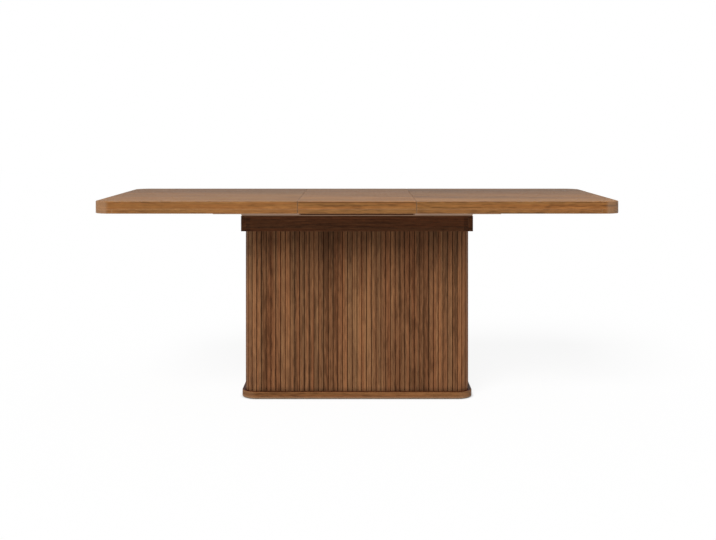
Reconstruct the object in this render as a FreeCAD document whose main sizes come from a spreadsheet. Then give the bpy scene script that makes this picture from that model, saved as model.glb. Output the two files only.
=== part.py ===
import FreeCAD, Part
import Sketcher
import math
import os
import re

# Extending pedestal table, in millimetres.
# X runs along the table from left to right, -Y is the front, +Z is up.
# The origin is on the floor under the middle of the table.

DRIVING = [
    ("table_length", 1905, "overall length with the leaf in"),
    ("table_depth", 800, "overall depth of the top"),
    ("table_height", 760, "floor to top surface"),
    ("leaf_width", 430, "opening between the halves that the leaf fills"),
    ("seam_gap", 1, "gap on each side of the leaf"),
    ("top_corner_radius", 58, "corners of the top in plan"),
    ("top_arris", 3, "rounding of the top's outer upper edges"),
    ("board_arris", 0.8, "rounding of the other edges of boards that show"),
    ("panel_thickness", 28, "top panels"),
    ("strip_thickness", 16, "build-up strips and battens under the panels"),
    ("strip_width", 70, "build-up strips along the outer edges"),
    ("seam_strip_width", 40, "build-up strips along the seams"),
    ("batten_width", 60, "battens that carry runners and bearers"),
    ("base_length", 876, "plinth and housing, left to right"),
    ("base_depth", 420, "plinth and housing, front to back"),
    ("glide_height", 2, "floor to underside of the plinth"),
    ("glide_diameter", 30, "floor glide pad"),
    ("glide_peg_diameter", 6, "peg that holds a glide in the plinth"),
    ("glide_peg_length", 12, "peg length above the pad"),
    ("glide_inset", 70, "glide centre from the plinth's sides"),
    ("plinth_thickness", 26, "plinth board"),
    ("plinth_corner_radius", 58, "corners of the plinth in plan"),
    ("plinth_round", 3, "rounding of the plinth's edges"),
    ("column_inset", 12.5, "plinth edge to slat fronts"),
    ("slat_pitch", 18.1, "wanted spacing of the slats"),
    ("slat_gap", 2.2, "groove between slats"),
    ("slat_thickness", 8, "slat depth"),
    ("slat_round", 1, "rounded shoulders of a slat"),
    ("core_thickness", 15, "boards behind the slats"),
    ("glue_gap", 0.1, "glue line behind the corner slats"),
    ("plate_thickness", 15, "bottom plate of the housing"),
    ("rail_height", 43, "housing rails"),
    ("rail_thickness", 22, "long housing rails"),
    ("end_rail_thickness", 18, "housing end boards and stretchers"),
    ("track_end_inset", 2, "housing end to track end"),
    ("track_width", 20, "track base and runner width"),
    ("track_base", 4, "track base thickness"),
    ("track_neck_width", 6, "track neck"),
    ("track_neck_height", 7, "track neck"),
    ("track_head_width", 11, "track head"),
    ("track_head", 4, "track head thickness"),
    ("slide_clearance", 0.3, "running gap, up and down"),
    ("slide_side_gap", 0.5, "running gap, sideways"),
    ("runner_roof", 8.7, "runner thickness above the track head"),
    ("runner_reach", 106.4, "housing end to runner end"),
    ("runner_inset", 4.4, "seam edge to runner end"),
    ("lip_trim", 2.4, "cut off under the runners' lips beyond the housing"),
    ("slide_travel", 20, "outward travel that frees the leaf"),
    ("stop_clearance", 0.3, "stop block to stretcher at full travel"),
    ("stop_inset", 4, "seam edge to stop block"),
    ("stop_length", 20, "stop block along the table"),
    ("stop_width", 25, "stop block across the table"),
    ("stop_side_gap", 2, "stop block to rail"),
    ("stop_overlap", 28, "stop block reach below the rail tops"),
    ("bearer_end_inset", 1, "leaf edge to bearer end"),
    ("bearer_head_gap", 1, "track head to bearer groove"),
    ("board_screw_shank", 4.5, "screws into boards"),
    ("board_screw_head", 9, "screws into boards"),
    ("board_screw_length", 50, "screws into boards"),
    ("slide_screw_shank", 3.2, "screws in the slides"),
    ("slide_screw_head", 6.4, "screws in the slides"),
    ("track_screw_length", 34, "screws through the tracks"),
    ("runner_screw_length", 28, "screws through runners and bearers"),
    ("screw_tip", 4, "pointed end of a screw"),
    ("screw_socket", 1.2, "drive recess depth"),
    ("screw_clearance", 0.2, "play round a screw or peg"),
    ("screw_end_inset", 30, "end of a board or slide to its first screw"),
    ("long_board_screws", 4, "screws in each long board of the base"),
    ("short_board_screws", 2, "screws in each short board of the base"),
    ("track_screw_count", 5, "screws in each track"),
    ("runner_screw_count", 4, "screws in each runner"),
    ("bearer_screw_count", 3, "screws in each leaf bearer"),
]

DERIVED = [
    ("top_thickness", "panel_thickness + strip_thickness"),
    ("panel_bottom", "table_height - panel_thickness"),
    ("top_bottom", "table_height - top_thickness"),
    ("slide_height", "track_base + track_neck_height + track_head + slide_clearance + runner_roof"),
    ("rail_top", "top_bottom - slide_height"),
    ("plate_top", "rail_top - rail_height"),
    ("column_top", "plate_top - plate_thickness"),
    ("column_bottom", "glide_height + plinth_thickness"),
    ("column_height", "column_top - column_bottom"),
    ("track_base_top", "rail_top + track_base"),
    ("track_neck_top", "track_base_top + track_neck_height"),
    ("track_top", "track_neck_top + track_head"),
    ("half_length", "(table_length - leaf_width) / 2"),
    ("half_centre", "leaf_width / 2 + half_length / 2"),
    ("seam_edge", "leaf_width / 2"),
    ("leaf_length", "leaf_width - 2 * seam_gap"),
    ("strip_line", "table_depth / 2 - strip_width / 2"),
    ("rail_line", "base_depth / 2 - rail_thickness / 2"),
    ("core_inset", "column_inset + slat_thickness"),
    ("core_length", "base_length - 2 * core_inset"),
    ("core_depth", "base_depth - 2 * core_inset"),
    ("column_corner_radius", "plinth_corner_radius - column_inset"),
    ("core_corner_radius", "plinth_corner_radius - core_inset"),
    ("front_flat", "core_length - 2 * core_corner_radius"),
    ("side_flat", "core_depth - 2 * core_corner_radius"),
    ("front_slat_count", "round(front_flat / slat_pitch)"),
    ("side_slat_count", "round(side_flat / slat_pitch)"),
    ("corner_slat_count", "round(pi / 2 * column_corner_radius / slat_pitch)"),
    ("front_slat_step", "front_flat / front_slat_count"),
    ("side_slat_step", "side_flat / side_slat_count"),
    ("corner_gap_angle", "slat_gap / column_corner_radius * 180 / pi"),
    ("corner_slat_angle", "90 / corner_slat_count - corner_gap_angle"),
    ("batten_length", "half_length - strip_width - seam_strip_width"),
    ("batten_centre", "seam_edge + seam_strip_width + batten_length / 2"),
    ("seam_strip_length", "table_depth - 2 * strip_width"),
    ("runner_length", "base_length / 2 + runner_reach - seam_edge - runner_inset"),
    ("runner_centre", "seam_edge + runner_inset + runner_length / 2"),
    ("stop_centre", "seam_edge + stop_inset + stop_length / 2"),
    ("stop_line", "base_depth / 2 - rail_thickness - stop_side_gap - stop_width / 2"),
    ("stop_bottom", "rail_top - stop_overlap"),
    ("stretcher_face", "stop_centre + stop_length / 2 + slide_travel + stop_clearance"),
    ("bearer_length", "leaf_length - 2 * bearer_end_inset"),
]

SIDES = (("left", -1), ("right", 1))
FACES = (("front", -1), ("back", 1))

doc = FreeCAD.newDocument("extending_table")
sheet = doc.addObject("Spreadsheet::Sheet", "Dims")
nodes = []


def fill_sheet():
    """Driving sizes are plain numbers, derived ones are formulas on them."""
    row = 0
    for name, number, note in DRIVING:
        row += 1
        sheet.set(f"A{row}", name)
        sheet.set(f"B{row}", str(number))
        sheet.setAlias(f"B{row}", name)
        sheet.set(f"C{row}", note)
    for name, formula in DERIVED:
        row += 1
        sheet.set(f"A{row}", name)
        sheet.set(f"B{row}", "=" + formula)
        sheet.setAlias(f"B{row}", name)
    doc.recompute()


def size(name):
    return float(sheet.get(name))


def bind(obj, prop, formula):
    """Tie a property to a formula whose words are all sheet aliases."""
    obj.setExpression(prop, re.sub(r"[a-z]\w+", r"Dims.\g<0>", formula))


def place(obj, x="0", y="0", z="0"):
    for axis, formula in zip("xyz", (x, y, z)):
        bind(obj, f".Placement.Base.{axis}", formula)


def node(obj, label):
    """Name a finished sub-part, which is written to a file of that name."""
    obj.Label = label
    nodes.append(obj)
    return obj


# Sketches and solids


def polygon_sketch(body, role, points):
    """A closed outline whose corners are bound to pairs of formulas."""
    plane = next(item for item in body.Origin.OriginFeatures if item.Role == role)
    sketch = body.newObject("Sketcher::SketchObject", body.Name + "_outline")
    sketch.AttachmentSupport = (plane, [""])
    sketch.MapMode = "FlatFace"
    count = len(points)
    for index in range(count):
        turn = 2 * math.pi / count
        start = FreeCAD.Vector(math.cos(index * turn), math.sin(index * turn), 0)
        end = FreeCAD.Vector(math.cos((index + 1) * turn), math.sin((index + 1) * turn), 0)
        sketch.addGeometry(Part.LineSegment(start, end))
    for index in range(count):
        sketch.addConstraint(Sketcher.Constraint("Coincident", index, 2, (index + 1) % count, 1))
    for index, point in enumerate(points):
        for kind, formula in zip(("DistanceX", "DistanceY"), point):
            constraint = sketch.addConstraint(Sketcher.Constraint(kind, -1, 1, index, 1, 1.0))
            sketch.renameConstraint(constraint, f"corner{index}_{kind[-1]}")
            bind(sketch, f"Constraints.corner{index}_{kind[-1]}", formula)
    return sketch


def padded_body(name, role, points, length, symmetric=False):
    """A body padded from an outline."""
    body = doc.addObject("PartDesign::Body", name)
    pad = body.newObject("PartDesign::Pad", name + "_pad")
    pad.Profile = polygon_sketch(body, role, points)
    body.Tip = pad
    bind(pad, "Length", length)
    if symmetric:
        pad.SideType = "Symmetric"
    return body


def rectangle(length, depth):
    """Corners of a rectangle centred on the sketch's origin."""
    corners = ((-1, -1), (1, -1), (1, 1), (-1, 1))
    return [(f"{u} * ({length}) / 2", f"{v} * ({depth}) / 2") for u, v in corners]


def round_edges(body, radius, test=None):
    """Round the edges of a body that pass a test on their middle and direction, or all of them."""
    base = body.Tip
    fillet = body.newObject("PartDesign::Fillet", body.Name + "_round")
    doc.recompute()
    if test is None:
        fillet.Base = base
        fillet.UseAllEdges = True
    else:
        names = []
        for index, edge in enumerate(base.Shape.Edges, 1):
            middle = edge.valueAt((edge.FirstParameter + edge.LastParameter) / 2)
            upright = len(edge.Vertexes) == 2 and edge.BoundBox.ZLength > 0.9 * edge.Length
            if test(middle, upright):
                names.append(f"Edge{index}")
        fillet.Base = (base, names)
    bind(fillet, "Radius", radius)
    body.Tip = fillet
    doc.recompute()
    return body


def board(name, dims, centre, bottom, rounded=True):
    """A flat board, centred in plan on a place and standing on a level."""
    length, depth, height = dims
    body = padded_body(name, "XY_Plane", rectangle(length, depth), height)
    if rounded:
        round_edges(body, "board_arris")
    place(body, centre[0], centre[1], bottom)
    return body


def copies(name, master, spots):
    """Separate copies of a master solid, each at a placement."""
    doc.recompute()
    solids = []
    for spot in spots:
        solid = master.Shape.copy()
        solid.Placement = spot.multiply(master.Placement)
        solids.append(solid)
    group = doc.addObject("Part::Feature", name)
    group.Shape = Part.Compound(solids)
    return group


def spot_at(x, y, z, turn=0.0):
    return FreeCAD.Placement(FreeCAD.Vector(x, y, z), FreeCAD.Rotation(FreeCAD.Vector(0, 0, 1), turn))


def spread(first, last, count):
    """Evenly spaced values from first to last, as many as the sheet says."""
    steps = int(size(count)) - 1
    return [first + (last - first) * index / steps for index in range(steps + 1)]


# Screws and the holes for them. A spot is the middle of the head's face and the way the screw points.

UP = FreeCAD.Rotation(FreeCAD.Vector(1, 0, 0), 180)
DOWN = FreeCAD.Rotation()


def screw_spots(places, level, way):
    return [FreeCAD.Placement(FreeCAD.Vector(x, y, level), way) for x, y in places]


def screw_master(name, kind, length):
    """A countersunk screw, head face on the origin and pointing down."""
    shank = f"{kind}_shank / 2"
    head = f"{kind}_head / 2"
    points = [
        ("0", "-screw_socket"),
        (shank, "0"),
        (head, "0"),
        (shank, f"-({head} - {shank})"),
        (shank, f"-({length} - screw_tip)"),
        ("0", f"-{length}"),
    ]
    body = doc.addObject("PartDesign::Body", name)
    turned = body.newObject("PartDesign::Revolution", name + "_turned")
    turned.Profile = polygon_sketch(body, "XZ_Plane", points)
    turned.ReferenceAxis = (turned.Profile[0], ["V_Axis"])
    turned.Angle = 360
    body.Tip = turned
    return body


def screw_holes(spots, kind, length):
    """Cutters for the screws at some spots, larger all round by the clearance."""
    play = size("screw_clearance")
    shank = size(f"{kind}_shank") / 2 + play
    head = size(f"{kind}_head") / 2 + play
    down = FreeCAD.Vector(0, 0, -1)
    start = FreeCAD.Vector(0, 0, 0)
    above = FreeCAD.Vector(0, 0, 1)
    cutter = Part.makeCylinder(shank, size(length) + play, start, down)
    cutter = cutter.fuse(Part.makeCone(head, shank, head - shank, start, down))
    cutter = cutter.fuse(Part.makeCylinder(head, 1, above, down))
    return [cutter.transformed(spot.toMatrix(), True) for spot in spots]


def drilled(label, blank, cutters):
    """The blank with holes cut where the cutters reach it."""
    tool = doc.addObject("Part::Feature", label + "_holes")
    tool.Shape = Part.Compound(cutters)
    cut = doc.addObject("Part::Cut", label)
    cut.Base = blank
    cut.Tool = tool
    doc.recompute()
    if cut.Shape.Volume > blank.Shape.Volume - 1:
        raise RuntimeError(label + ": the holes cut nothing")
    return node(cut, label)


# Places of the fasteners, worked out from the boards that they join


def two_rows(line, along):
    """The same spacing along a front and a back line."""
    return [(x, sign * line) for sign in (-1, 1) for x in along]


def two_columns(line, across):
    """The same spacing along a left and a right line."""
    return [(sign * line, y) for sign in (-1, 1) for y in across]


def core_screw_places():
    """Screws into the end grain of the four core boards."""
    board_y = size("core_depth") / 2 - size("core_thickness") / 2
    board_x = size("core_length") / 2 - size("core_thickness") / 2
    along = size("front_flat") / 2 - size("screw_end_inset")
    across = size("side_flat") / 2 - size("screw_end_inset")
    long_boards = two_rows(board_y, spread(-along, along, "long_board_screws"))
    return long_boards + two_columns(board_x, spread(-across, across, "short_board_screws"))


def rail_screw_places():
    """Screws up through the housing plate into its rails, clear of the track screws."""
    inset = 2 * size("screw_end_inset")
    along = size("base_length") / 2 - size("end_rail_thickness") - inset
    across = size("base_depth") / 2 - inset
    end_x = size("base_length") / 2 - size("end_rail_thickness") / 2
    long_rails = two_rows(size("rail_line"), spread(-along, along, "long_board_screws"))
    return long_rails + two_columns(end_x, spread(-across, across, "short_board_screws"))


def track_screw_places():
    reach = size("base_length") / 2 - size("end_rail_thickness") - size("screw_end_inset")
    return two_rows(size("rail_line"), spread(-reach, reach, "track_screw_count"))


def runner_screw_places(side):
    """Screws up through one half's two runners, where the battens back them."""
    inset = size("screw_end_inset")
    first = size("seam_edge") + size("seam_strip_width") + inset
    last = size("runner_centre") + size("runner_length") / 2 - inset
    return two_rows(size("rail_line"), [side * x for x in spread(first, last, "runner_screw_count")])


def bearer_screw_places():
    reach = size("leaf_length") / 2 - size("seam_strip_width") - size("screw_end_inset")
    return two_rows(size("rail_line"), spread(-reach, reach, "bearer_screw_count"))


def glide_places():
    x = size("base_length") / 2 - size("glide_inset")
    y = size("base_depth") / 2 - size("glide_inset")
    return [(u * x, v * y) for u in (-1, 0, 1) for v in (-1, 1)]


# Pedestal


def make_plinth():
    outline = rectangle("base_length", "base_depth")
    blank = padded_body("plinth_blank", "XY_Plane", outline, "plinth_thickness")
    round_edges(blank, "plinth_corner_radius", lambda middle, upright: upright)
    round_edges(blank, "plinth_round", lambda middle, upright: not upright)
    place(blank, z="glide_height")
    spots = screw_spots(core_screw_places(), size("glide_height"), UP)
    cutters = screw_holes(spots, "board_screw", "board_screw_length")
    play = size("screw_clearance")
    for x, y in glide_places():
        base = FreeCAD.Vector(x, y, size("glide_height"))
        peg = size("glide_peg_diameter") / 2 + play
        cutters.append(Part.makeCylinder(peg, size("glide_peg_length") + play, base))
    drilled("plinth", blank, cutters)
    master = screw_master("plinth_screw", "board_screw", "board_screw_length")
    node(copies("plinth_screws", master, spots), "plinth_screws")


def make_glides():
    """Pads under the plinth, each with a peg up into it."""
    master = doc.addObject("PartDesign::Body", "glide")
    turned = master.newObject("PartDesign::Revolution", "glide_turned")
    points = [
        ("0", "0"),
        ("glide_diameter / 2 - glide_height / 2", "0"),
        ("glide_diameter / 2", "glide_height / 2"),
        ("glide_diameter / 2", "glide_height"),
        ("glide_peg_diameter / 2", "glide_height"),
        ("glide_peg_diameter / 2", "glide_height + glide_peg_length"),
        ("0", "glide_height + glide_peg_length"),
    ]
    turned.Profile = polygon_sketch(master, "XZ_Plane", points)
    turned.ReferenceAxis = (turned.Profile[0], ["V_Axis"])
    turned.Angle = 360
    master.Tip = turned
    node(copies("floor_glides", master, [spot_at(x, y, 0) for x, y in glide_places()]), "floor_glides")


def make_core():
    """The boards, posts and divider that the slats are glued to."""
    places = core_screw_places()
    cutters = screw_holes(screw_spots(places, size("glide_height"), UP), "board_screw", "board_screw_length")
    cutters += screw_holes(screw_spots(places, size("plate_top"), DOWN), "board_screw", "board_screw_length")
    for face, sign in FACES:
        dims = ("front_flat", "core_thickness", "column_height")
        centre = ("0", f"{sign} * (core_depth / 2 - core_thickness / 2)")
        blank = board(f"core_{face}_blank", dims, centre, "column_bottom", rounded=False)
        drilled(f"core_{face}_board", blank, cutters)
    for side, sign in SIDES:
        dims = ("core_thickness", "side_flat", "column_height")
        centre = (f"{sign} * (core_length / 2 - core_thickness / 2)", "0")
        blank = board(f"core_{side}_blank", dims, centre, "column_bottom", rounded=False)
        drilled(f"core_{side}_board", blank, cutters)
    dims = ("core_thickness", "core_depth - 2 * core_thickness", "column_height")
    node(board("divider", dims, ("0", "0"), "column_bottom", rounded=False), "core_divider")
    post = doc.addObject("Part::Cylinder", "post")
    bind(post, "Radius", "core_corner_radius")
    bind(post, "Height", "column_height")
    post.Angle = 90
    node(copies("core_corner_posts", post, corner_spots()), "core_corner_posts")


def corner_spots(extra_turn=0.0):
    """The four corner centres of the column, each turned so that +X to +Y faces outwards."""
    x = size("front_flat") / 2
    y = size("side_flat") / 2
    level = size("column_bottom")
    corners = ((1, 1), (-1, 1), (-1, -1), (1, -1))
    return [spot_at(u * x, v * y, level, 90 * index + extra_turn) for index, (u, v) in enumerate(corners)]


def slat_master(name, step):
    """A slat whose back is on the XZ plane and whose rounded front faces -Y."""
    half = f"({step} - slat_gap) / 2"
    points = [
        (f"-{half}", "0"),
        (f"-{half}", "-slat_thickness"),
        (half, "-slat_thickness"),
        (half, "0"),
    ]
    body = padded_body(name, "XY_Plane", points, "column_height")
    front = -size("slat_thickness") / 2
    return round_edges(body, "slat_round", lambda middle, upright: upright and middle.y < front)


def make_flat_slats():
    front = slat_master("front_slat", "front_slat_step")
    side = slat_master("side_slat", "side_slat_step")
    level = size("column_bottom")
    rows = (
        ("front", front, 0, "front_flat", "front_slat_step", "core_depth"),
        ("right", side, 90, "side_flat", "side_slat_step", "core_length"),
        ("back", front, 180, "front_flat", "front_slat_step", "core_depth"),
        ("left", side, 270, "side_flat", "side_slat_step", "core_length"),
    )
    for face, master, turn, flat, step, across in rows:
        first = -size(flat) / 2 + size(step) / 2
        count = round(size(flat) / size(step))
        wall = spot_at(0, 0, level, turn)
        face_y = -size(across) / 2
        spots = [wall.multiply(spot_at(first + index * size(step), face_y, 0)) for index in range(count)]
        node(copies(f"{face}_slats", master, spots), f"{face}_slats")


def make_corner_slats():
    """Wedge slats that carry the fluting round the corners."""
    outer = doc.addObject("Part::Cylinder", "corner_slat_outer")
    inner = doc.addObject("Part::Cylinder", "corner_slat_inner")
    bind(outer, "Radius", "column_corner_radius")
    bind(outer, "Angle", "corner_slat_angle")
    bind(inner, "Radius", "core_corner_radius + glue_gap")
    for cylinder in (outer, inner):
        bind(cylinder, "Height", "column_height")
    ring = doc.addObject("Part::Cut", "corner_slat_ring")
    ring.Base = outer
    ring.Tool = inner
    doc.recompute()
    slat = doc.addObject("Part::Fillet", "corner_slat")
    slat.Base = ring
    shoulder = size("slat_round")
    halfway = (size("column_corner_radius") + size("core_corner_radius")) / 2
    rounded = []
    for index, edge in enumerate(ring.Shape.Edges, 1):
        middle = edge.valueAt((edge.FirstParameter + edge.LastParameter) / 2)
        upright = edge.BoundBox.ZLength > 0.9 * edge.Length
        if upright and math.hypot(middle.x, middle.y) > halfway:
            rounded.append((index, shoulder, shoulder))
    slat.Edges = rounded
    count = int(size("corner_slat_count"))
    half_gap = size("corner_gap_angle") / 2
    spots = []
    for index in range(count):
        spots += corner_spots(90 / count * index + half_gap)
    node(copies("corner_slats", slat, spots), "corner_slats")


# Housing between the column and the top


def make_housing():
    rail_spots = screw_spots(rail_screw_places(), size("column_top"), UP)
    plate_spots = screw_spots(core_screw_places(), size("plate_top"), DOWN)
    track_spots = screw_spots(track_screw_places(), size("track_top"), DOWN)
    rail_holes = screw_holes(rail_spots, "board_screw", "board_screw_length")
    plate_holes = screw_holes(plate_spots, "board_screw", "board_screw_length")
    track_holes = screw_holes(track_spots, "slide_screw", "track_screw_length")

    dims = ("base_length", "base_depth", "plate_thickness")
    plate = board("plate_blank", dims, ("0", "0"), "column_top")
    drilled("housing_plate", plate, rail_holes + plate_holes)
    for face, sign in FACES:
        dims = ("base_length - 2 * end_rail_thickness", "rail_thickness", "rail_height")
        rail = board(f"rail_{face}_blank", dims, ("0", f"{sign} * rail_line"), "plate_top")
        drilled(f"housing_{face}_rail", rail, rail_holes + track_holes)
    for side, sign in SIDES:
        dims = ("end_rail_thickness", "base_depth", "rail_height")
        centre = (f"{sign} * (base_length / 2 - end_rail_thickness / 2)", "0")
        rail = board(f"rail_{side}_blank", dims, centre, "plate_top")
        drilled(f"housing_{side}_rail", rail, rail_holes)
        dims = ("end_rail_thickness", "base_depth - 2 * rail_thickness", "rail_height")
        centre = (f"{sign} * (stretcher_face + end_rail_thickness / 2)", "0")
        stretcher = board(f"stretcher_{side}", dims, centre, "plate_top")
        node(stretcher, f"housing_{side}_stretcher")

    board_screw = screw_master("board_screw_master", "board_screw", "board_screw_length")
    node(copies("rail_screws", board_screw, rail_spots), "rail_screws")
    node(copies("plate_screws", board_screw, plate_spots), "plate_screws")
    track_screw = screw_master("track_screw_master", "slide_screw", "track_screw_length")
    node(copies("track_screws", track_screw, track_spots), "track_screws")
    for face, sign in FACES:
        drilled(f"{face}_track", make_track(face, sign), track_holes)


def make_track(face, sign):
    """A fixed T track on top of a long rail."""
    half = []
    half.append(("track_width / 2", "0"))
    half.append(("track_width / 2", "track_base"))
    half.append(("track_neck_width / 2", "track_base"))
    half.append(("track_neck_width / 2", "track_base + track_neck_height"))
    half.append(("track_head_width / 2", "track_base + track_neck_height"))
    half.append(("track_head_width / 2", "track_base + track_neck_height + track_head"))
    mirrored = [(f"-{u}", v) for u, v in reversed(half)]
    length = "base_length - 2 * track_end_inset"
    body = padded_body(f"track_{face}_blank", "YZ_Plane", half + mirrored, length, symmetric=True)
    place(body, y=f"{sign} * rail_line", z="rail_top")
    return body


# Sliding halves of the top


def rounded_end_board(name, length, height):
    """A board across the table whose two outer corners, on +X, are rounded in plan."""
    body = padded_body(name, "XY_Plane", rectangle(length, "table_depth"), height)
    return round_edges(body, "top_corner_radius", lambda middle, upright: upright and middle.x > 0)


def round_panel(panel, length, seams):
    """Round a top panel's outer upper edges, and ease its lower edges and those of its seam faces.

    The seams are -1 for a seam face on -X and 1 for one on +X.
    """
    middle_level = size("panel_thickness") / 2
    eased = size("board_arris")
    half = size(length) / 2

    def at_seam(middle):
        return any(abs(middle.x - sign * half) < eased for sign in seams)

    def outer(middle, upright):
        return not upright and middle.z > middle_level and not at_seam(middle)

    def inner(middle, upright):
        return at_seam(middle) or middle.z < eased

    round_edges(panel, "top_arris", outer)
    round_edges(panel, "board_arris", inner)


def make_half(side, sign):
    screw_places = runner_screw_places(sign)
    level = size("track_top") + size("slide_clearance")
    spots = screw_spots(screw_places, level, UP)
    holes = screw_holes(spots, "slide_screw", "runner_screw_length")
    turn = FreeCAD.Rotation(FreeCAD.Vector(0, 0, 1), 0 if sign > 0 else 180)

    panel = rounded_end_board(f"{side}_panel_blank", "half_length", "panel_thickness")
    round_panel(panel, "half_length", (-1,))
    panel.Placement.Rotation = turn
    place(panel, f"{sign} * half_centre", z="panel_bottom")
    drilled(f"{side}_top_panel", panel, holes)

    end = rounded_end_board(f"{side}_end_strip_blank", "strip_width", "strip_thickness")
    round_edges(end, "board_arris", lambda middle, upright: not upright)
    end.Placement.Rotation = turn
    place(end, f"{sign} * (table_length / 2 - strip_width / 2)", z="top_bottom")
    node(end, f"{side}_end_strip")

    strip = ("half_length - strip_width", "strip_width", "strip_thickness")
    strip_x = f"{sign} * (half_centre - strip_width / 2)"
    batten = ("batten_length", "batten_width", "strip_thickness")
    for face, front in FACES:
        edge = board(f"{side}_{face}_edge", strip, (strip_x, f"{front} * strip_line"), "top_bottom")
        node(edge, f"{side}_{face}_strip")
        centre = (f"{sign} * batten_centre", f"{front} * rail_line")
        rib = board(f"{side}_{face}_rib", batten, centre, "top_bottom", rounded=False)
        drilled(f"{side}_{face}_batten", rib, holes)
        drilled(f"{side}_{face}_runner", make_runner(side, sign, face, front), holes)
    seam = ("seam_strip_width", "seam_strip_length", "strip_thickness")
    seam_x = f"{sign} * (seam_edge + seam_strip_width / 2)"
    node(board(f"{side}_seam", seam, (seam_x, "0"), "top_bottom", rounded=False), f"{side}_seam_strip")
    make_stops(side, sign)
    master = screw_master(f"{side}_runner_screw", "slide_screw", "runner_screw_length")
    node(copies(f"{side}_runner_screws", master, spots), f"{side}_runner_screws")


def make_runner(side, sign, face, front):
    """A C section that hangs round the track's head and is screwed up to a batten."""
    lip = "track_neck_width / 2 + slide_side_gap"
    wall = "track_head_width / 2 + slide_side_gap"
    lip_bottom = "track_base + slide_clearance"
    lip_top = "track_base + track_neck_height - slide_clearance"
    roof = "track_base + track_neck_height + track_head + slide_clearance"
    half = [
        (wall, roof),
        (wall, lip_top),
        (lip, lip_top),
        (lip, lip_bottom),
        ("track_width / 2", lip_bottom),
        ("track_width / 2", "slide_height"),
    ]
    mirrored = [(f"-({u})", v) for u, v in reversed(half)]
    name = f"{side}_{face}_runner_blank"
    body = padded_body(name, "YZ_Plane", half + mirrored, "runner_length", symmetric=True)
    place(body, f"{sign} * runner_centre", f"{front} * rail_line", "rail_top")
    return trim_lips(body, sign, front)


def trim_lips(runner, sign, front):
    """The runner with less under its lips beyond the housing, where they hold no track."""
    tool = doc.addObject("Part::Box", runner.Name + "_trim")
    bind(tool, "Length", "2 * runner_reach")
    bind(tool, "Width", "2 * track_width")
    bind(tool, "Height", "2 * lip_trim")
    start = "base_length / 2" if sign > 0 else "-(base_length / 2 + 2 * runner_reach)"
    lip_bottom = "rail_top + track_base + slide_clearance"
    place(tool, start, f"{front} * rail_line - track_width", f"{lip_bottom} - lip_trim")
    cut = doc.addObject("Part::Cut", runner.Name + "_trimmed")
    cut.Base = runner
    cut.Tool = tool
    doc.recompute()
    return cut


def make_stops(side, sign):
    """Blocks that meet the housing stretcher at the end of the outward travel."""
    dims = ("stop_length", "stop_width", "top_bottom - stop_bottom")
    master = padded_body(f"{side}_stop", "XY_Plane", rectangle(dims[0], dims[1]), dims[2])
    round_edges(master, "board_arris", lambda middle, upright: upright)
    x = sign * size("stop_centre")
    spots = [spot_at(x, front * size("stop_line"), size("stop_bottom")) for face, front in FACES]
    node(copies(f"{side}_stop_blocks", master, spots), f"{side}_stop_blocks")


# Drop-in leaf


def make_leaf():
    spots = screw_spots(bearer_screw_places(), size("track_top") + size("bearer_head_gap"), UP)
    holes = screw_holes(spots, "slide_screw", "runner_screw_length")
    outline = rectangle("leaf_length", "table_depth")
    panel = padded_body("leaf_panel_blank", "XY_Plane", outline, "panel_thickness")
    round_panel(panel, "leaf_length", (-1, 1))
    place(panel, z="panel_bottom")
    drilled("leaf_panel", panel, holes)
    strip = ("leaf_length", "strip_width", "strip_thickness")
    batten = ("leaf_length - 2 * seam_strip_width", "batten_width", "strip_thickness")
    for face, front in FACES:
        edge = board(f"leaf_{face}_edge", strip, ("0", f"{front} * strip_line"), "top_bottom")
        node(edge, f"leaf_{face}_strip")
        rib = board(f"leaf_{face}_rib", batten, ("0", f"{front} * rail_line"), "top_bottom", rounded=False)
        drilled(f"leaf_{face}_batten", rib, holes)
        drilled(f"leaf_{face}_bearer", make_bearer(face, front), holes)
    seam = ("seam_strip_width", "seam_strip_length", "strip_thickness")
    for side, sign in SIDES:
        centre = (f"{sign} * (leaf_length / 2 - seam_strip_width / 2)", "0")
        strip = board(f"leaf_{side}_seam", seam, centre, "top_bottom", rounded=False)
        node(strip, f"leaf_{side}_strip")
    master = screw_master("bearer_screw", "slide_screw", "runner_screw_length")
    node(copies("leaf_bearer_screws", master, spots), "leaf_bearer_screws")


def make_bearer(face, front):
    """A grooved batten that sits over the track on the track's base."""
    groove = "track_head_width / 2 + slide_side_gap"
    groove_top = "track_neck_height + track_head + bearer_head_gap"
    half = [
        (groove, groove_top),
        (groove, "0"),
        ("rail_thickness / 2", "0"),
        ("rail_thickness / 2", "slide_height - track_base"),
    ]
    mirrored = [(f"-({u})", v) for u, v in reversed(half)]
    body = padded_body(f"bearer_{face}_blank", "YZ_Plane", half + mirrored, "bearer_length", symmetric=True)
    place(body, y=f"{front} * rail_line", z="track_base_top")
    return body


# Checks and files


def check_document():
    for obj in doc.Objects:
        if "Invalid" in obj.State or "Error" in obj.State:
            raise RuntimeError(f"{obj.Name} failed to recompute")
    for obj in nodes:
        if obj.Shape.isNull() or not obj.Shape.isValid():
            raise RuntimeError(f"{obj.Label} has no valid shape")


def write_parts():
    os.makedirs("parts", exist_ok=True)
    for obj in nodes:
        obj.Shape.exportStep(f"parts/{obj.Label}.step")
        box = obj.Shape.optimalBoundingBox(False, False)
        extents = f"{box.XLength:.1f} x {box.YLength:.1f} x {box.ZLength:.1f}"
        print(f"{obj.Label}: {len(obj.Shape.Solids)} solids, {extents}")


fill_sheet()
make_plinth()
make_glides()
make_core()
make_flat_slats()
make_corner_slats()
make_housing()
for half_side, half_sign in SIDES:
    make_half(half_side, half_sign)
make_leaf()
doc.recompute()
check_document()
write_parts()
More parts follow.
